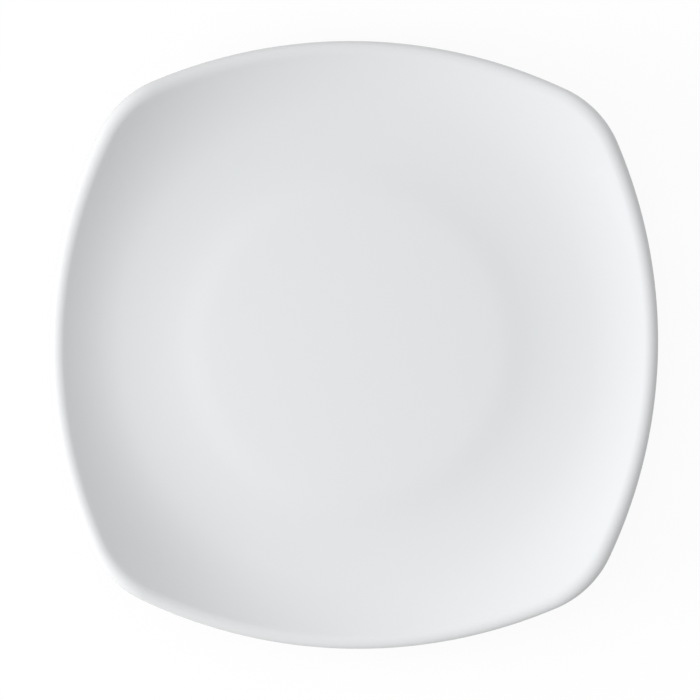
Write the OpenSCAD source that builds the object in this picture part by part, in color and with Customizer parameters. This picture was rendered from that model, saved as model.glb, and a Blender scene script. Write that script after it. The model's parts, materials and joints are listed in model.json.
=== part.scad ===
// Square dinner plate of white glazed porcelain.
// Lengths are in millimetres, +Z is up, and the sides of the plate face +X, -X, +Y and -Y.
// The plate is centred on the Z axis, and its foot ring stands on z = 0.
//
// The dish is turned: its height depends only on the distance from the Z axis. The rim is a square with
// bowed sides that is cut out of it, so the rim rises towards the corners, which lie further out.
// Every size of the dish and the lip is that of the glazed surface. The fired body lies one coat below it.

/* [Outline] */
// Width across the middles of two opposite sides
plate_w = 270; // [250:1:300]
// Radius of the bow of each side
side_bow_r = 219; // [190:1:300]
// Radius of each rounded corner
corner_r = 47; // [35:1:60]

/* [Dish] */
// Radius of the lowest ring of the dish, where it starts to rise
trough_r = 80.5; // [74:0.5:86]
// Radius of the gentle rise beside the lowest ring, in section
rise_curve_r = 150; // [120:1:250]
// Width of the wall, from the outermost line of a side in to the gentle rise
wall_w = 30; // [25:1:36]
// Radius of the wall's upward curve, in section
wall_curve_r = 70; // [60:1:100]
// Thickness of the floor at its lowest ring
floor_t = 5.2; // [4.4:0.1:7]
// Height of the floor's slight crown above its lowest ring
crown_h = 0.6; // [0.1:0.1:1.2]
// Width of the ring over which the crown falls away
crown_fall_w = 17; // [10:1:30]

/* [Lip] */
// Distance from the outermost line of the lip in to its crest
lip_w = 3.4; // [2.8:0.1:4]
// Thickness of the lip
lip_t = 5.2; // [4.6:0.1:6]
// Radius of the shoulder between the crest and the wall
shoulder_r = 5.5; // [3.5:0.1:8]

/* [Foot] */
// Height of the foot ring under the floor
foot_h = 3.4; // [2.5:0.1:6]
// Width of the foot ring
foot_w = 5.5; // [4:0.1:9]
// Distance of the foot ring's outer wall from the lowest ring of the dish
foot_set_in = 7; // [6:0.5:20]
// Radius of the two edges that the foot stands on
foot_edge_r = 0.9; // [0.5:0.1:1]
// Radius of the hollow corner between foot and floor
foot_root_r = 1.2; // [0.6:0.1:1.4]

/* [Glaze] */
// Thickness of the coat of glaze
glaze_t = 0.3; // [0.2:0.05:0.5]
// Height at which the glaze stops on the foot ring, which is bare below it
glaze_line_h = 1.2; // [1.1:0.1:1.5]
// Width of the flat ring where the glaze of the wall runs into that of the foot
glaze_lap_w = 4; // [3:0.5:4.5]

/* [Hidden] */

// How finely the dish is drawn: steps around the rim, steps along the section, and tries at each slope
side_steps = 14;
corner_steps = 10;
crown_steps = 3;
rise_steps = 3;
wall_steps = 5;
shoulder_steps = 3;
edge_steps = 4;
under_steps = 5;
solve_steps = 6;
round_fn = 120;

// Angles in degrees
quarter = 90;
half_turn = 180;
up = 90;

// The outline: four bows, whose centres lie beyond the Z axis, and four corner arcs that touch them
half_w = plate_w / 2;
bow_x = half_w - side_bow_r;
bow_to_corner = side_bow_r - corner_r;
corner_xy = (bow_x + sqrt(2 * pow(bow_to_corner, 2) - pow(bow_x, 2))) / 2;
touch_a = atan2(corner_xy, corner_xy - bow_x);

quarter_steps = side_steps + corner_steps;
columns = 4 * quarter_steps;

// Heights of the floor, and radii that follow from those of the dish
trough_z = foot_h + floor_t;
crown_r = trough_r - crown_fall_w;
wall_r = half_w - wall_w;
foot_outer_r = trough_r - foot_set_in;
foot_inner_r = foot_outer_r - foot_w;
foot_mid_r = foot_outer_r - foot_w / 2;
lap_r = trough_r - glaze_lap_w;
lap_end_r = trough_r - glaze_lap_w / 2;

// Slope of the dish where the gentle rise ends and the wall starts
wall_a = asin((wall_r - trough_r) / rise_curve_r);

// How far the foot reaches up into the body
foot_bite = floor_t / 4;

function flat_dir(a) = [cos(a), sin(a)];
function turned(p, a) = [p.x * cos(a) - p.y * sin(a), p.x * sin(a) + p.y * cos(a)];

// Direction in which the rim faces at a step of the first quarter, which starts at one end of a bow
function quarter_dir(step) =
    step < side_steps
        ? touch_a * (2 * step / side_steps - 1)
        : touch_a + (quarter - 2 * touch_a) * (step - side_steps) / corner_steps;

function rim_dir(column) =
    quarter * floor(column / quarter_steps) + quarter_dir(column % quarter_steps);

// Outermost point of the rim in a column, seen from above
function rim_point(column) =
    let (
        step = column % quarter_steps,
        a = quarter_dir(step),
        p = step < side_steps
            ? [bow_x, 0] + side_bow_r * flat_dir(a)
            : [corner_xy, corner_xy] + corner_r * flat_dir(a)
    )
    turned(p, quarter * floor(column / quarter_steps));

// Slope and height of the dish at a distance from the Z axis
function crown_share(r) = (r - crown_r) / crown_fall_w;
function dish_slope(r) =
    r <= crown_r ? 0
    : r < trough_r ? -atan(crown_h * PI / 2 / crown_fall_w * sin(half_turn * crown_share(r)))
    : r < wall_r ? asin((r - trough_r) / rise_curve_r)
    : asin(sin(wall_a) + (r - wall_r) / wall_curve_r);
function dish_z(r) =
    trough_z + (
        r <= crown_r ? crown_h
        : r < trough_r ? crown_h * (1 + cos(half_turn * crown_share(r))) / 2
        : r < wall_r ? rise_curve_r * (1 - cos(dish_slope(r)))
        : rise_curve_r * (1 - cos(wall_a)) + wall_curve_r * (cos(wall_a) - cos(dish_slope(r)))
    );

// A slope along the direction in which the rim faces, from the slope away from the Z axis
function along_rim_dir(slope, p, a) = atan(tan(slope) * (p * flat_dir(a)) / norm(p));

// Where the dish runs into the lip's shoulder, and its tilt there
function shoulder_end(column, tilt) =
    rim_point(column) - (lip_w + shoulder_r * sin(tilt)) * flat_dir(rim_dir(column));
function shoulder_tilt(column, tilt = 0, tries = solve_steps) =
    tries == 0 ? tilt
    : let (p = shoulder_end(column, tilt))
      shoulder_tilt(column, along_rim_dir(dish_slope(norm(p)), p, rim_dir(column)), tries - 1);

// The lip's section is half of an oval, as wide again as its crest is from its outermost line.
// These are its crest seen from above, the crest's height, and how far a point of the oval lies out and up
// from the middle, where its surface faces up by a lift.
function lip_crest(column) = rim_point(column) - lip_w * flat_dir(rim_dir(column));
function lip_crest_z(column, tilt) =
    dish_z(norm(shoulder_end(column, tilt))) + shoulder_r * (1 - cos(tilt));
function oval_point(lift) =
    let (p = [lip_w * cos(lift), lip_t / 2 * sin(lift)])
    [lip_w * p.x, lip_t / 2 * p.y] / norm(p);

// The underside is an arc in section, level at the lowest ring of the dish and tangent to the lip
function under_end(column, crest_z, tilt) =
    let (q = oval_point(tilt - up), p = lip_crest(column) + q.x * flat_dir(rim_dir(column)))
    [p.x, p.y, crest_z - lip_t / 2 + q.y];
function flat_norm(p) = norm([p.x, p.y]);
function under_rise(p) = (p.z - foot_h) / (flat_norm(p) - trough_r);
function under_tilt(column, crest_z, tilt = 0, tries = solve_steps) =
    tries == 0 ? tilt
    : let (p = under_end(column, crest_z, tilt))
      under_tilt(
          column, crest_z,
          along_rim_dir(2 * atan(under_rise(p)), [p.x, p.y], rim_dir(column)),
          tries - 1
      );

// A point of the finished surface moved down into the plate by a depth, against its outward normal
function sunk(p, normal, depth) = p - depth * normal;

// A point of the dish at a distance from the Z axis, along a direction given as a flat vector
function dish_point(p, depth) =
    let (r = norm(p), slope = dish_slope(r), away = p / r)
    sunk([p.x, p.y, dish_z(r)], [-sin(slope) * away.x, -sin(slope) * away.y, cos(slope)], depth);

// A point of the lip's section, out and up from its crest, where its surface faces up by a lift
function lip_point(crest, crest_z, out_up, lift, a, depth) =
    let (away = flat_dir(a), p = crest + out_up.x * away)
    sunk([p.x, p.y, crest_z + out_up.y], [cos(lift) * away.x, cos(lift) * away.y, sin(lift)], depth);
function shoulder_point(crest, crest_z, lift, a, depth) =
    lip_point(crest, crest_z, shoulder_r * [cos(lift), sin(lift) - 1], lift, a, depth);
function edge_point(crest, crest_z, lift, a, depth) =
    lip_point(crest, crest_z, oval_point(lift) - [0, lip_t / 2], lift, a, depth);

// A point on the arc of the underside, a share of the way out from the lowest ring
function under_point(start, finish, share, depth) =
    let (
        p = start + share * ([finish.x, finish.y] - start),
        out = flat_norm(finish) - trough_r,
        rise = finish.z - foot_h,
        curve_r = (pow(out, 2) + pow(rise, 2)) / (2 * rise),
        slope = asin((norm(p) - trough_r) / curve_r),
        away = p / norm(p)
    )
    sunk(
        [p.x, p.y, foot_h + curve_r * (1 - cos(slope))],
        [sin(slope) * away.x, sin(slope) * away.y, -cos(slope)],
        depth
    );

// All points of one column of the glazed surface, from the crown over the lip to the flat ring underneath
function column_points(column, depth) =
    let (
        a = rim_dir(column),
        away = rim_point(column) / norm(rim_point(column)),
        tilt = shoulder_tilt(column),
        crest = lip_crest(column),
        crest_z = lip_crest_z(column, tilt),
        inner = shoulder_end(column, tilt),
        hem_tilt = under_tilt(column, crest_z),
        hem = under_end(column, crest_z, hem_tilt),
        ring = trough_r * away,
        wall = wall_r * away
    )
    concat(
        [for (k = [0:crown_steps]) dish_point((crown_r + crown_fall_w * k / crown_steps) * away, depth)],
        [for (k = [1:rise_steps]) dish_point(ring + (wall - ring) * k / rise_steps, depth)],
        [for (k = [1:wall_steps - 1]) dish_point(wall + (inner - wall) * k / wall_steps, depth)],
        [for (k = [0:shoulder_steps - 1])
            shoulder_point(crest, crest_z, up + tilt * (1 - k / shoulder_steps), a, depth)],
        [for (k = [0:edge_steps]) edge_point(crest, crest_z, up * (1 - k / edge_steps), a, depth)],
        [for (k = [1:edge_steps]) edge_point(crest, crest_z, (hem_tilt - up) * k / edge_steps, a, depth)],
        [for (k = [1:under_steps - 1]) under_point(ring, hem, 1 - k / under_steps, depth)],
        [[ring.x, ring.y, foot_h + depth]]
    );
rows = len(column_points(0, 0));

// Points of the glazed surface sunk by a depth, row after row, with the middle of the crown first
function skin_points(depth) =
    let (all = [for (column = [0:columns - 1]) column_points(column, depth)])
    concat(
        [[0, 0, trough_z + crown_h - depth]],
        [for (row = [0:rows - 1]) for (column = [0:columns - 1]) all[column][row]]
    );

// Triangles between two rings of points, and between a ring and a single point
function ring_faces(first, second) =
    [for (k = [0:columns - 1])
        let (next = (k + 1) % columns)
        each [[first + k, first + next, second + next], [first + k, second + next, second + k]]];
function fan_faces(point, ring) =
    [for (k = [0:columns - 1]) [point, ring + (k + 1) % columns, ring + k]];
function ring_start(row) = 1 + row * columns;
function skin_faces() =
    concat(
        fan_faces(0, ring_start(0)),
        [for (row = [0:rows - 2]) each ring_faces(ring_start(row), ring_start(row + 1))]
    );
function flipped(faces) = [for (f = faces) [f[0], f[2], f[1]]];
function shifted(faces, count) = [for (f = faces) [f[0] + count, f[1] + count, f[2] + count]];

// A ring of points in the flat of the underside, one for each column
function flat_ring(r, z) =
    [for (column = [0:columns - 1])
        let (away = rim_point(column) / norm(rim_point(column)))
        [r * away.x, r * away.y, z]];

// The dish of fired clay without its foot, one coat under the glazed surface and flat underneath
module bare_dish() {
    skin = skin_points(glaze_t);
    middle = len(skin);
    polyhedron(
        points = concat(skin, [[0, 0, foot_h + glaze_t]]),
        faces = concat(skin_faces(), flipped(fan_faces(middle, ring_start(rows - 1)))),
        convexity = 4
    );
}

// The coat of glaze between the bare dish and the glazed surface, down to the flat ring underneath
module dish_coat() {
    outside = concat(skin_points(0), flat_ring(lap_r, foot_h));
    inside = concat(skin_points(glaze_t), flat_ring(lap_r, foot_h + glaze_t));
    faces = concat(skin_faces(), ring_faces(ring_start(rows - 1), ring_start(rows)));
    polyhedron(
        points = concat(outside, inside),
        faces = concat(
            faces,
            shifted(flipped(faces), len(outside)),
            ring_faces(ring_start(rows), len(outside) + ring_start(rows))
        ),
        convexity = 6
    );
}

// Section of the foot and its hollow corners, a depth under the glazed surface and from a height upwards
module foot_band(depth, from_z) {
    root = foot_root_r + depth;
    translate([foot_inner_r + depth, from_z])
        square([foot_w - 2 * depth, foot_h + depth - from_z]);
    difference() {
        translate([foot_inner_r - foot_root_r, foot_h - foot_root_r])
            square([foot_w + 2 * foot_root_r, root]);
        for (r = [foot_inner_r - foot_root_r, foot_outer_r + foot_root_r])
            translate([r, foot_h - foot_root_r]) circle(root, $fn = round_fn);
    }
}

// Section of the bare foot, with the rounded edges that it stands on
module bare_foot_section() {
    inner = foot_inner_r + glaze_t;
    outer = foot_outer_r - glaze_t;
    foot_band(glaze_t, foot_edge_r);
    translate([inner, foot_h + glaze_t]) square([outer - inner, foot_bite]);
    translate([inner + foot_edge_r, 0]) square([outer - inner - 2 * foot_edge_r, foot_edge_r]);
    for (r = [inner + foot_edge_r, outer - foot_edge_r])
        translate([r, foot_edge_r]) circle(foot_edge_r, $fn = round_fn);
}

// Section of the glaze on the foot and the floor beside it, between two distances from the Z axis
module foot_coat_section(from_r, to_r) {
    difference() {
        intersection() {
            union() {
                translate([0, foot_h]) square([to_r, glaze_t]);
                foot_band(0, glaze_line_h);
            }
            translate([from_r, glaze_line_h]) square([to_r - from_r, foot_h + glaze_t - glaze_line_h]);
        }
        foot_band(glaze_t, 0);
    }
}

// Fired body: the dish and the foot ring that it stands on, pressed as one piece of clay
module porcelain_body() {
    color("ivory") {
        bare_dish();
        rotate_extrude($fn = round_fn) bare_foot_section();
    }
}

// Glaze over the face, the lip and the underside, down the outer wall of the foot
module outer_glaze() {
    color("white") {
        dish_coat();
        rotate_extrude($fn = round_fn) foot_coat_section(foot_mid_r, lap_end_r);
    }
}

// Glaze in the hollow inside the foot ring
module base_glaze() {
    color("white") rotate_extrude($fn = round_fn) foot_coat_section(0, foot_mid_r);
}

porcelain_body();
outer_glaze();
base_glaze();
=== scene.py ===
import json
import math

import bmesh
import bpy
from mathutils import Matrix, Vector

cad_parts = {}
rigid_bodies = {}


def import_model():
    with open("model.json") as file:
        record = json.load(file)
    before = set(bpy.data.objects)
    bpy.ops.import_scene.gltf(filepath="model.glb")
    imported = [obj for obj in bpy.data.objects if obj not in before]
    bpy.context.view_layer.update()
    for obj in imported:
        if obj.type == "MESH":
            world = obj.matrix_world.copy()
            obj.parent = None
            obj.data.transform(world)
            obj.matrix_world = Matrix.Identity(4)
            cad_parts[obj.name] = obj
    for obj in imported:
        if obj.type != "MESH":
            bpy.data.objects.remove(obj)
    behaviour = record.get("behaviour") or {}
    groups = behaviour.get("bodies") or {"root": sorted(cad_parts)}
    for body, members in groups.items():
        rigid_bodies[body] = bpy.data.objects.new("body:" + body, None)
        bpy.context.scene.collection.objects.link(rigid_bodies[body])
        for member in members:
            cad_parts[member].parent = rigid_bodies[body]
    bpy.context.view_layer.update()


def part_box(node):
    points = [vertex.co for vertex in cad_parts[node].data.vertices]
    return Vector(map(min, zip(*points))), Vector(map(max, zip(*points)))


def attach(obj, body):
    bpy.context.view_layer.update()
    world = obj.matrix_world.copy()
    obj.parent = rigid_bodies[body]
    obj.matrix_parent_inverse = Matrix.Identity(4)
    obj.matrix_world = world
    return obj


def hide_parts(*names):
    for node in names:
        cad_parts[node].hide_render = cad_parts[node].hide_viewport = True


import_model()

# everything is in metres, on the plate's own frame: +Z up, the foot ring standing on z = 0

# the plate as it was drawn; its width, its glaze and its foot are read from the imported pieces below
plate = {
    "bowRadius": 0.219,         # bow of each side
    "cornerRadius": 0.047,
    "troughRadius": 0.0805,     # lowest ring of the dish, where it starts to rise
    "riseRadius": 0.15,         # curve of the gentle rise, in section
    "wallWidth": 0.03,          # from a side's outermost line in to the gentle rise
    "wallRadius": 0.07,         # the wall's curve in section
    "crownHeight": 0.0006,      # how far the middle stands above the trough
    "crownFallWidth": 0.017,
    "floorThickness": 0.0052,
    "lipWidth": 0.0034,         # outermost line to crest
    "lipThickness": 0.0052,
    "shoulderRadius": 0.0055,   # between crest and wall
    "footWidth": 0.0055,
    "footEdgeRadius": 0.0009,
    "footRootRadius": 0.0012,
}

coatLow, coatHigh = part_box("outer_glaze")
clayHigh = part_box("porcelain_body")[1]
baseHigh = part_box("base_glaze")[1]
halfWidth = (coatHigh.x - coatLow.x) / 2
glazeThickness = coatHigh.x - clayHigh.x
glazeLine = coatLow.z
footHeight = baseHigh.z - glazeThickness
footInner = baseHigh.x - glazeThickness
footOuter = footInner + plate["footWidth"]
troughHeight = footHeight + plate["floorThickness"]
crownRadius = plate["troughRadius"] - plate["crownFallWidth"]
wallStart = halfWidth - plate["wallWidth"]
wallStartSlope = math.asin((wallStart - plate["troughRadius"]) / plate["riseRadius"])
lipHalf = plate["lipThickness"] / 2

# how finely the pieces are drawn: steps round one quarter of the rim, then steps along the section
fineness = {
    "bow": 44,
    "corner": 36,
    "crown": 4,
    "crownFall": 10,
    "rise": 12,
    "wall": 20,
    "shoulder": 8,
    "lip": 10,
    "under": 18,
    "root": 8,
    "footEdge": 6,
}
quarterTurn = math.pi / 2
fullTurn = 4 * quarterTurn
earlyShare = 1 / 3    # of a column's turn, by which the count starts before the +X side's middle
settleTries = 12      # rounds in which a slope and its place settle on each other


# the rim: four bows and four corner arcs that touch them
def rimColumns():
    bowX = halfWidth - plate["bowRadius"]
    reach = plate["bowRadius"] - plate["cornerRadius"]
    cornerAt = (bowX + math.sqrt(2 * reach**2 - bowX**2)) / 2
    touch = math.atan2(cornerAt, cornerAt - bowX)
    cornerSpan = quarterTurn - 2 * touch
    bow = [(touch * (2 * step / fineness["bow"] - 1), bowX, 0.0, plate["bowRadius"])
           for step in range(fineness["bow"])]
    corner = [(touch + cornerSpan * step / fineness["corner"], cornerAt, cornerAt, plate["cornerRadius"])
              for step in range(fineness["corner"])]
    columns = []
    for quarter in range(4):
        turn = quarter * quarterTurn
        for facing, centreX, centreY, radius in bow + corner:
            centre = turned(Vector((centreX, centreY)), turn)
            out = flatDirection(facing + turn)
            columns.append({"rim": centre + radius * out, "out": out})
    columns.sort(key=lambda column: turnOf(column["rim"]))
    return columns


def flatDirection(angle):
    return Vector((math.cos(angle), math.sin(angle)))


def turned(point, angle):
    across = Vector((-point.y, point.x))
    return point * math.cos(angle) + across * math.sin(angle)


# order round the Z axis, counted from just before the middle of the +X side
def turnOf(point):
    columnTurn = quarterTurn / (fineness["bow"] + fineness["corner"])
    return (math.atan2(point.y, point.x) + columnTurn * earlyShare) % fullTurn


# the dish: its slope and height depend only on the distance from the Z axis
def dishSlope(radius):
    if radius <= crownRadius:
        return 0.0
    if radius < plate["troughRadius"]:
        share = (radius - crownRadius) / plate["crownFallWidth"]
        steepest = plate["crownHeight"] * math.pi / 2 / plate["crownFallWidth"]
        return -math.atan(steepest * math.sin(math.pi * share))
    if radius < wallStart:
        return math.asin((radius - plate["troughRadius"]) / plate["riseRadius"])
    return math.asin(math.sin(wallStartSlope) + (radius - wallStart) / plate["wallRadius"])


def dishHeight(radius):
    if radius <= crownRadius:
        return troughHeight + plate["crownHeight"]
    if radius < plate["troughRadius"]:
        share = (radius - crownRadius) / plate["crownFallWidth"]
        return troughHeight + plate["crownHeight"] * (1 + math.cos(math.pi * share)) / 2
    if radius < wallStart:
        return troughHeight + plate["riseRadius"] * (1 - math.cos(dishSlope(radius)))
    return (troughHeight + plate["riseRadius"] * (1 - math.cos(wallStartSlope))
            + plate["wallRadius"] * (math.cos(wallStartSlope) - math.cos(dishSlope(radius))))


# a slope straight out from the Z axis, as it is along the way that the rim faces
def slopeAlong(slope, point, out):
    return math.atan(math.tan(slope) * point.dot(out) / point.length)


# a point of the lip's oval, out and up from its middle, where the surface faces up by lift
def ovalPoint(lift):
    across = plate["lipWidth"] * math.cos(lift)
    upright = lipHalf * math.sin(lift)
    stretched = Vector((plate["lipWidth"] * across, lipHalf * upright))
    return stretched / math.hypot(across, upright)


# where the lip stands in a column, and where its shoulder and its hem run into wall and underside
def settleLip(column):
    rim, out = column["rim"], column["out"]
    tilt = 0.0
    for attempt in range(settleTries):
        inner = rim - (plate["lipWidth"] + plate["shoulderRadius"] * math.sin(tilt)) * out
        tilt = slopeAlong(dishSlope(inner.length), inner, out)
    crestHeight = dishHeight(inner.length) + plate["shoulderRadius"] * (1 - math.cos(tilt))
    crest = rim - plate["lipWidth"] * out
    hemTilt = 0.0
    for attempt in range(settleTries):
        hemOffset = ovalPoint(hemTilt - quarterTurn)
        hem = crest + hemOffset.x * out
        hemHeight = crestHeight - lipHalf + hemOffset.y
        climb = (hemHeight - footHeight) / (hem.length - plate["troughRadius"])
        hemTilt = slopeAlong(2 * math.atan(climb), hem, out)
    column.update(inner=inner, tilt=tilt, crest=crest, crestHeight=crestHeight,
                  hem=hem, hemHeight=hemHeight, hemTilt=hemTilt)


# a surface's point at a depth below the glaze; the surface faces out in plan and up by lift
def sunk(flat, height, out, lift, depth):
    point = flat - depth * math.cos(lift) * out
    return Vector((point.x, point.y, height - depth * math.sin(lift)))


def dishPoint(flat, depth):
    slope = dishSlope(flat.length)
    return sunk(flat, dishHeight(flat.length), flat.normalized(), quarterTurn + slope, depth)


def shoulderPoint(column, lift, depth):
    flat = column["crest"] + plate["shoulderRadius"] * math.cos(lift) * column["out"]
    height = column["crestHeight"] + plate["shoulderRadius"] * (math.sin(lift) - 1)
    return sunk(flat, height, column["out"], lift, depth)


def edgePoint(column, lift, depth):
    offset = ovalPoint(lift)
    flat = column["crest"] + offset.x * column["out"]
    height = column["crestHeight"] - lipHalf + offset.y
    return sunk(flat, height, column["out"], lift, depth)


# the underside is an arc in section, level at the trough's radius and touching the lip's hem
def underPoint(column, share, depth):
    start = plate["troughRadius"] * column["rim"].normalized()
    flat = start + share * (column["hem"] - start)
    out = column["hem"].length - plate["troughRadius"]
    rise = column["hemHeight"] - footHeight
    curve = (out**2 + rise**2) / (2 * rise)
    slope = math.asin((flat.length - plate["troughRadius"]) / curve)
    height = footHeight + curve * (1 - math.cos(slope))
    return sunk(flat, height, flat.normalized(), slope - quarterTurn, depth)


# one ring of the skin: a point in every column, and how deep the glaze lies there,
# from -1 where it draws thin over the lip and painted shade darkens it, to 1 where it gathers
def ring(columns, pointOf, flowAndShade=0.0):
    return {"points": [pointOf(column) for column in columns], "flowAndShade": flowAndShade}


def roundRing(columns, radius, height, flowAndShade=0.0):
    def pointOf(column):
        flat = radius * column["rim"].normalized()
        return Vector((flat.x, flat.y, height))
    return ring(columns, pointOf, flowAndShade)


def shares(name, first=1):
    return [step / fineness[name] for step in range(first, fineness[name] + 1)]


crestThinnessAndShade = 0.5    # how thin the glaze draws at the crest, and how much painted shade lies there, where the lip's outermost line is 1


# face, lip and underside, from the middle of the crown to the flat ring at the trough's radius
def dishRings(columns, depth):
    rings = []

    def addFaceRing(radius, flowAndShade=0.0):
        rings.append(ring(columns, lambda c: dishPoint(radius * c["rim"].normalized(), depth), flowAndShade))

    def addWallRing(share):
        def pointOf(column):
            start = wallStart * column["rim"].normalized()
            return dishPoint(start + share * (column["inner"] - start), depth)
        rings.append(ring(columns, pointOf))

    for share in shares("crown"):
        addFaceRing(share * crownRadius)
    for share in shares("crownFall"):
        addFaceRing(crownRadius + share * plate["crownFallWidth"], share)
    for share in shares("rise"):
        addFaceRing(plate["troughRadius"] + share * (wallStart - plate["troughRadius"]), 1 - share)
    for share in shares("wall")[:-1]:
        addWallRing(share)
    # the glaze draws thinner from the shoulder out to the lip's outermost line, where painted shade also
    # darkens the lip
    for share in [0.0] + shares("shoulder")[:-1]:
        rings.append(ring(columns,
                          lambda c: shoulderPoint(c, quarterTurn + c["tilt"] * (1 - share), depth),
                          -crestThinnessAndShade * share))
    for share in shares("lip", 0):
        rings.append(ring(columns,
                          lambda c: edgePoint(c, quarterTurn * (1 - share), depth),
                          -crestThinnessAndShade - (1 - crestThinnessAndShade) * share))
    for share in shares("lip"):
        rings.append(ring(columns,
                          lambda c: edgePoint(c, (c["hemTilt"] - quarterTurn) * share, depth),
                          share - 1))
    for share in shares("under"):
        rings.append(ring(columns, lambda c: underPoint(c, 1 - share, depth)))
    return rings


# hollow corner between foot and floor, from the floor to the foot's wall;
# side is 1 outside the foot and -1 inside
def rootRings(columns, side, depth):
    wallRadius = footOuter if side > 0 else footInner
    centre = wallRadius + side * plate["footRootRadius"]
    radius = plate["footRootRadius"] + depth
    rings = []
    for share in shares("root", 0):
        angle = share * quarterTurn
        rings.append(roundRing(columns, centre - side * radius * math.sin(angle),
                               footHeight - plate["footRootRadius"] + radius * math.cos(angle), share))
    return rings


# rounded edge that the bare foot stands on, from its wall to the flat land
def footEdgeRings(columns, side):
    wallRadius = footOuter - glazeThickness if side > 0 else footInner + glazeThickness
    centre = wallRadius - side * plate["footEdgeRadius"]
    rings = []
    for share in shares("footEdge", 0):
        angle = share * quarterTurn
        rings.append(roundRing(columns, centre + side * plate["footEdgeRadius"] * math.cos(angle),
                               plate["footEdgeRadius"] * (1 - math.sin(angle))))
    return rings


# grows a skin as by hand: a filled circle, then its rim extruded ring by ring,
# each ring put in its place
def growSkin(name, middleHeight, rings, closed=False, facesUp=True):
    bpy.ops.object.select_all(action="DESELECT")
    firstPoints = rings[0]["points"]
    bpy.ops.mesh.primitive_circle_add(vertices=len(firstPoints), radius=firstPoints[0].length,
                                      fill_type="TRIFAN")
    piece = bpy.context.object
    piece.name = name
    piece.data.name = name
    piece.data.attributes.new("glazeFlowAndLipShade", "FLOAT", "POINT")
    bpy.ops.object.mode_set(mode="EDIT")
    if not facesUp:
        bpy.ops.mesh.flip_normals()
    mesh = bmesh.from_edit_mesh(piece.data)
    middle = min(mesh.verts, key=lambda v: v.co.length)
    middle.co.z = middleHeight
    selectOnly(mesh, [v for v in mesh.verts if v is not middle])
    placeRing(piece, rings[0])
    for nextRing in rings[1:]:
        bpy.ops.mesh.extrude_edges_move()
        placeRing(piece, nextRing)
    if closed:
        bpy.ops.mesh.extrude_edges_move()
        bpy.ops.mesh.merge(type="CENTER")
        bpy.ops.mesh.select_all(action="SELECT")
        bpy.ops.mesh.normals_make_consistent(inside=False)
    bpy.ops.object.mode_set(mode="OBJECT")
    return piece


def selectOnly(mesh, wanted):
    for face in mesh.faces:
        face.select = False
    for edge in mesh.edges:
        edge.select = False
    for vertex in mesh.verts:
        vertex.select = False
    for vertex in wanted:
        vertex.select = True
    chosen = set(wanted)
    for edge in mesh.edges:
        if all(vertex in chosen for vertex in edge.verts):
            edge.select = True


def placeRing(piece, newRing):
    mesh = bmesh.from_edit_mesh(piece.data)
    flowAndShade = mesh.verts.layers.float["glazeFlowAndLipShade"]
    chosen = sorted((v for v in mesh.verts if v.select), key=lambda v: turnOf(v.co))
    for vertex, point in zip(chosen, newRing["points"], strict=True):
        vertex.co = point
        vertex[flowAndShade] = newRing["flowAndShade"]
    bmesh.update_edit_mesh(piece.data)


coatEdge = {
    "roundShare": 0.45,         # how much of the coat's thickness each rounding takes
    "roundSteps": 3,
    "sharpAngle": 50,           # edges that turn by more than this are rounded
}
smoothAngle = 60    # edges that turn by less than this are shaded smooth


# the skin gets the coat's thickness on its inner side, and the edge where it stops is rounded
def thickenCoat(piece):
    solidify = piece.modifiers.new("glazeThickness", "SOLIDIFY")
    solidify.thickness = glazeThickness
    solidify.offset = -1
    solidify.use_even_offset = True
    bevel = piece.modifiers.new("softStop", "BEVEL")
    bevel.width = glazeThickness * coatEdge["roundShare"]
    bevel.segments = coatEdge["roundSteps"]
    bevel.limit_method = "ANGLE"
    bevel.angle_limit = math.radians(coatEdge["sharpAngle"])
    for modifier in (solidify, bevel):
        bpy.ops.object.modifier_apply(modifier=modifier.name)


def finishPiece(piece, material, nodeName):
    bpy.ops.object.shade_smooth_by_angle(angle=math.radians(smoothAngle))
    piece.data.materials.clear()
    piece.data.materials.append(material)
    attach(piece, "root")
    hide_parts(nodeName)


# materials

glazeLook = {
    "colour": (0.765, 0.780, 0.795),
    "pooledColour": (0.758, 0.775, 0.791),    # a little cooler and deeper where glaze gathers
    "thinGlazeAndShadeColour": (0.742, 0.750, 0.756),      # greyer and warmer where the glaze draws thin over the lip, and darker there as painted shade on its outer edge
    "roughness": 0.10,
    "roughnessSpread": 0.03,
    "waveSize": 0.016,
    "waveDetail": 2,
    "waveHeight": 0.000006,
    "peelSize": 0.0022,
    "peelDetail": 1,
    "peelHeight": 0.0000006,
    "refraction": 1.5,
}
commonNoise = (0.3, 0.7)    # the part of a noise's range that most of its values lie in


def newMaterial(name):
    material = bpy.data.materials.new(name)
    material.use_nodes = True
    nodes, links = material.node_tree.nodes, material.node_tree.links
    shader = nodes["Principled BSDF"]
    place = nodes.new("ShaderNodeTexCoord")
    return material, nodes, links, shader, place


def addNoise(nodes, links, place, size, detail):
    noise = nodes.new("ShaderNodeTexNoise")
    noise.inputs["Scale"].default_value = 1 / size
    noise.inputs["Detail"].default_value = detail
    links.new(place.outputs["Object"], noise.inputs["Vector"])
    return noise.outputs["Fac"]


# the result stays between toLow and toHigh where the source goes past its own range
def addRange(nodes, links, source, fromLow, fromHigh, toLow=0, toHigh=1):
    spread = nodes.new("ShaderNodeMapRange")
    spread.inputs["From Min"].default_value = fromLow
    spread.inputs["From Max"].default_value = fromHigh
    spread.inputs["To Min"].default_value = toLow
    spread.inputs["To Max"].default_value = toHigh
    links.new(source, spread.inputs["Value"])
    return spread.outputs["Result"]


def addMix(nodes, links, factor, first, second):
    mix = nodes.new("ShaderNodeMix")
    mix.data_type = "RGBA"
    links.new(factor, mix.inputs["Factor"])
    for socket, colour in ((mix.inputs["A"], first), (mix.inputs["B"], second)):
        if isinstance(colour, tuple):
            socket.default_value = (*colour, 1)
        else:
            links.new(colour, socket)
    return mix.outputs["Result"]


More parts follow.
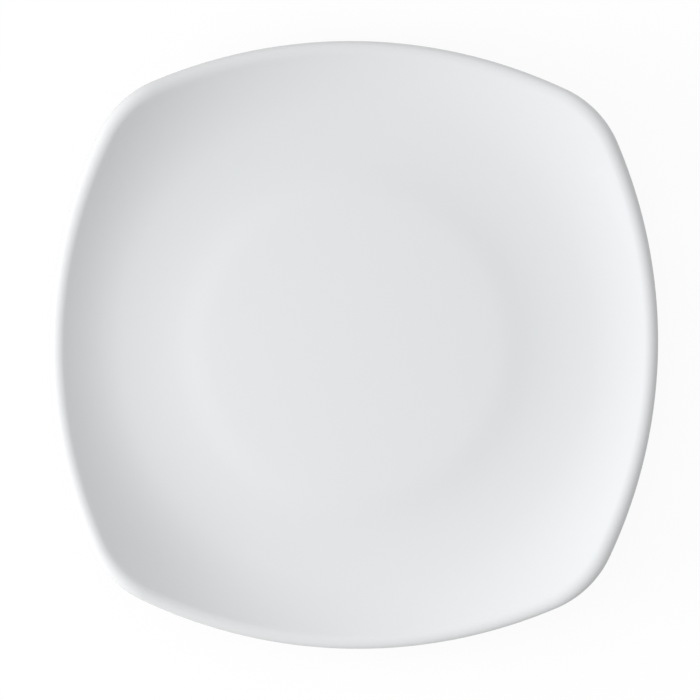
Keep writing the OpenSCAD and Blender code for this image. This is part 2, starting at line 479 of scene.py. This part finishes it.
def addBump(nodes, links, height, distance, under=None):
    bump = nodes.new("ShaderNodeBump")
    bump.inputs["Strength"].default_value = 1
    bump.inputs["Distance"].default_value = distance
    links.new(height, bump.inputs["Height"])
    if under is not None:
        links.new(under, bump.inputs["Normal"])
    return bump.outputs["Normal"]


def whiteGlaze():
    look = glazeLook
    material, nodes, links, shader, place = newMaterial("whiteGlaze")
    flowAndShade = nodes.new("ShaderNodeAttribute")
    flowAndShade.attribute_name = "glazeFlowAndLipShade"
    pooled = addRange(nodes, links, flowAndShade.outputs["Fac"], 0, 1)
    # the thin colour is partly thin glaze over the lip and partly painted shade, darkest at the lip's
    # outermost line
    thinAndShade = addRange(nodes, links, flowAndShade.outputs["Fac"], 0, -1)
    colour = addMix(nodes, links, pooled, look["colour"], look["pooledColour"])
    colour = addMix(nodes, links, thinAndShade, colour, look["thinGlazeAndShadeColour"])
    links.new(colour, shader.inputs["Base Color"])
    waves = addNoise(nodes, links, place, look["waveSize"], look["waveDetail"])
    peel = addNoise(nodes, links, place, look["peelSize"], look["peelDetail"])
    roughness = addRange(nodes, links, waves, *commonNoise, look["roughness"] - look["roughnessSpread"],
                         look["roughness"] + look["roughnessSpread"])
    links.new(roughness, shader.inputs["Roughness"])
    normal = addBump(nodes, links, waves, look["waveHeight"])
    normal = addBump(nodes, links, peel, look["peelHeight"], normal)
    links.new(normal, shader.inputs["Normal"])
    shader.inputs["IOR"].default_value = look["refraction"]
    return material


clayLook = {
    "colour": (0.70, 0.67, 0.61),
    "paleColour": (0.78, 0.76, 0.71),
    "roughness": (0.62, 0.80),              # of the darker and of the paler patches
    "patchSize": 0.012,
    "patchDetail": 4,
    "grainSize": 0.0005,
    "grainDetail": 3,
    "grainHeight": 0.00004,
    "rubbedColour": (0.52, 0.50, 0.47),     # marks where the foot stands and slides
    "rubHeight": 0.0005,
    "rubPatches": (0.5, 0.7),               # where in the patches' range the marks start and are full
    "rubStrength": 0.6,
}


def bareClay():
    look = clayLook
    material, nodes, links, shader, place = newMaterial("bareFiredClay")
    patches = addNoise(nodes, links, place, look["patchSize"], look["patchDetail"])
    grain = addNoise(nodes, links, place, look["grainSize"], look["grainDetail"])
    colour = addMix(nodes, links, patches, look["colour"], look["paleColour"])
    split = nodes.new("ShaderNodeSeparateXYZ")
    links.new(place.outputs["Object"], split.inputs["Vector"])
    low = addRange(nodes, links, split.outputs["Z"], look["rubHeight"], 0)
    marks = addRange(nodes, links, patches, *look["rubPatches"], 0, look["rubStrength"])
    rubbed = nodes.new("ShaderNodeMath")
    rubbed.operation = "MULTIPLY"
    links.new(low, rubbed.inputs[0])
    links.new(marks, rubbed.inputs[1])
    colour = addMix(nodes, links, rubbed.outputs["Value"], colour, look["rubbedColour"])
    links.new(colour, shader.inputs["Base Color"])
    roughness = addRange(nodes, links, patches, *commonNoise, *look["roughness"])
    links.new(roughness, shader.inputs["Roughness"])
    links.new(addBump(nodes, links, grain, look["grainHeight"]), shader.inputs["Normal"])
    return material


# pieces

rim = rimColumns()
for rimColumn in rim:
    settleLip(rimColumn)
glaze = whiteGlaze()
clay = bareClay()

coatRings = dishRings(rim, 0)
coatRings += rootRings(rim, 1, 0)
coatRings.append(roundRing(rim, footOuter, glazeLine))
outerCoat = growSkin("outerGlazeCoat", dishHeight(0), coatRings)
thickenCoat(outerCoat)
finishPiece(outerCoat, glaze, "outer_glaze")
print("outer glaze coat:", len(outerCoat.data.polygons), "faces")

baseRings = [roundRing(rim, share * (footInner - plate["footRootRadius"]), footHeight)
             for share in shares("crown")[:-1]]
baseRings += rootRings(rim, -1, 0)
baseRings.append(roundRing(rim, footInner, glazeLine))
baseCoat = growSkin("baseGlazeCoat", footHeight, baseRings, facesUp=False)
thickenCoat(baseCoat)
finishPiece(baseCoat, glaze, "base_glaze")
print("base glaze coat:", len(baseCoat.data.polygons), "faces")

bodyRings = dishRings(rim, glazeThickness)
bodyRings += rootRings(rim, 1, glazeThickness)
bodyRings += footEdgeRings(rim, 1)
bodyRings += list(reversed(footEdgeRings(rim, -1)))
bodyRings += list(reversed(rootRings(rim, -1, glazeThickness)))
firedBody = growSkin("firedBody", dishHeight(0) - glazeThickness, bodyRings, closed=True)
finishPiece(firedBody, clay, "porcelain_body")
print("fired body:", len(firedBody.data.polygons), "faces")

# floor, light and camera

studio = {
    "floorSize": 12,
    "floorDrop": 0.0001,                # keeps the floor apart from the flat land of the foot
    "floorColour": (0.4, 0.4, 0.4),     # grey as the plate sees it, white to the camera
    "floorShine": 0.92,                 # share of the floor's white that needs no light
    "lampAway": 1.1,                    # how far the lamps stand
    "softLamp": {"size": (0.8, 0.35), "azimuth": 196, "elevation": 28, "power": 6.8, "mirrored": False},
    "glintLamp": {"size": (0.3, 0.2), "azimuth": 184, "elevation": 14, "power": 0.3, "mirrored": True},
    "skyLevel": 0.731,
    "skyTilt": 0.529,                   # how much brighter the sky is on its bright side
    "skyAzimuth": 145,
}
white = (1, 1, 1, 1)


# 1 for what the camera sees, itself or in gloss and glass, and 0 for what lights the plate
def isSeen(nodes, links):
    path = nodes.new("ShaderNodeLightPath")
    total = path.outputs["Is Camera Ray"]
    for name in ("Is Glossy Ray", "Is Transmission Ray"):
        add = nodes.new("ShaderNodeMath")
        add.operation = "ADD"
        add.use_clamp = True
        links.new(total, add.inputs[0])
        links.new(path.outputs[name], add.inputs[1])
        total = add.outputs["Value"]
    return total


def addFloor():
    bpy.ops.object.select_all(action="DESELECT")
    bpy.ops.mesh.primitive_plane_add(size=studio["floorSize"], location=(0, 0, -studio["floorDrop"]))
    floor = bpy.context.object
    floor.name = "studioFloor"
    material = bpy.data.materials.new("palePaper")
    material.use_nodes = True
    nodes, links = material.node_tree.nodes, material.node_tree.links
    nodes.remove(nodes["Principled BSDF"])
    paper = nodes.new("ShaderNodeBsdfDiffuse")
    paper.inputs["Color"].default_value = (*studio["floorColour"], 1)
    bright = nodes.new("ShaderNodeBsdfDiffuse")
    bright.inputs["Color"].default_value = white
    shine = nodes.new("ShaderNodeEmission")
    seen = nodes.new("ShaderNodeMixShader")
    seen.inputs["Fac"].default_value = studio["floorShine"]
    links.new(bright.outputs["BSDF"], seen.inputs[1])
    links.new(shine.outputs["Emission"], seen.inputs[2])
    either = nodes.new("ShaderNodeMixShader")
    links.new(isSeen(nodes, links), either.inputs["Fac"])
    links.new(paper.outputs["BSDF"], either.inputs[1])
    links.new(seen.outputs["Shader"], either.inputs[2])
    links.new(either.outputs["Shader"], nodes["Material Output"].inputs["Surface"])
    floor.data.materials.append(material)


# the soft lamp shapes the dish unmirrored; from above, only the lip can mirror the glint lamp
def addLamp(name):
    setting = studio[name]
    azimuth, elevation = math.radians(setting["azimuth"]), math.radians(setting["elevation"])
    away = Vector((math.cos(azimuth) * math.cos(elevation), math.sin(azimuth) * math.cos(elevation),
                   math.sin(elevation)))
    bpy.ops.object.light_add(type="AREA", location=away * studio["lampAway"])
    lamp = bpy.context.object
    lamp.name = name
    lamp.rotation_euler = away.to_track_quat("Z", "Y").to_euler()
    lamp.data.shape = "RECTANGLE"
    lamp.data.size, lamp.data.size_y = setting["size"]
    lamp.data.energy = setting["power"]
    lamp.visible_glossy = setting["mirrored"]


# the sky that lights the plate is brighter on one side, and the sky that is seen is plain white
def addSky():
    world = bpy.data.worlds.new("softSky")
    bpy.context.scene.world = world
    world.use_nodes = True
    nodes, links = world.node_tree.nodes, world.node_tree.links
    sky = nodes["Background"]
    sky.inputs["Color"].default_value = white
    place = nodes.new("ShaderNodeTexCoord")
    toBright = nodes.new("ShaderNodeVectorMath")
    toBright.operation = "DOT_PRODUCT"
    toBright.inputs[1].default_value = (*flatDirection(math.radians(studio["skyAzimuth"])), 0)
    links.new(place.outputs["Generated"], toBright.inputs[0])
    level, tilt = studio["skyLevel"], studio["skyLevel"] * studio["skyTilt"]
    strength = addRange(nodes, links, toBright.outputs["Value"], -1, 1, level - tilt, level + tilt)
    links.new(strength, sky.inputs["Strength"])
    backdrop = nodes.new("ShaderNodeBackground")
    backdrop.inputs["Color"].default_value = white
    either = nodes.new("ShaderNodeMixShader")
    links.new(isSeen(nodes, links), either.inputs["Fac"])
    links.new(sky.outputs["Background"], either.inputs[1])
    links.new(backdrop.outputs["Background"], either.inputs[2])
    links.new(either.outputs["Shader"], nodes["World Output"].inputs["Surface"])


# the photo looks straight down from far off, and shows the plate a little turned and off its middle
view = {
    "width": 700,                       # pixels across the picture
    "plateMiddle": (354.25, 344.9),     # of the plate's outline, counted from the top left
    "plateHalfWidth": 303.9,
    "turn": 1.09,
    "away": 2.6,
    "filmWidth": 36,                    # in millimetres
    "sight": 50,                        # how far the camera sees
}


def addCamera():
    metresPerPixel = halfWidth / view["plateHalfWidth"]
    rimHeight = min(column["crestHeight"] for column in rim) - lipHalf
    right = (view["width"] / 2 - view["plateMiddle"][0]) * metresPerPixel
    up = (view["plateMiddle"][1] - view["width"] / 2) * metresPerPixel
    turn = math.radians(view["turn"])
    flat = turned(Vector((right, up)), turn)
    bpy.ops.object.camera_add(location=(flat.x, flat.y, rimHeight + view["away"]), rotation=(0, 0, turn))
    camera = bpy.context.object
    camera.name = "photoCamera"
    camera.data.sensor_width = view["filmWidth"]
    camera.data.lens = view["filmWidth"] * view["away"] / (view["width"] * metresPerPixel)
    camera.data.clip_end = view["sight"]
    bpy.context.scene.camera = camera


addFloor()
addLamp("softLamp")
addLamp("glintLamp")
addSky()
addCamera()
bpy.context.scene.view_settings.view_transform = "Standard"
print("studio ready")
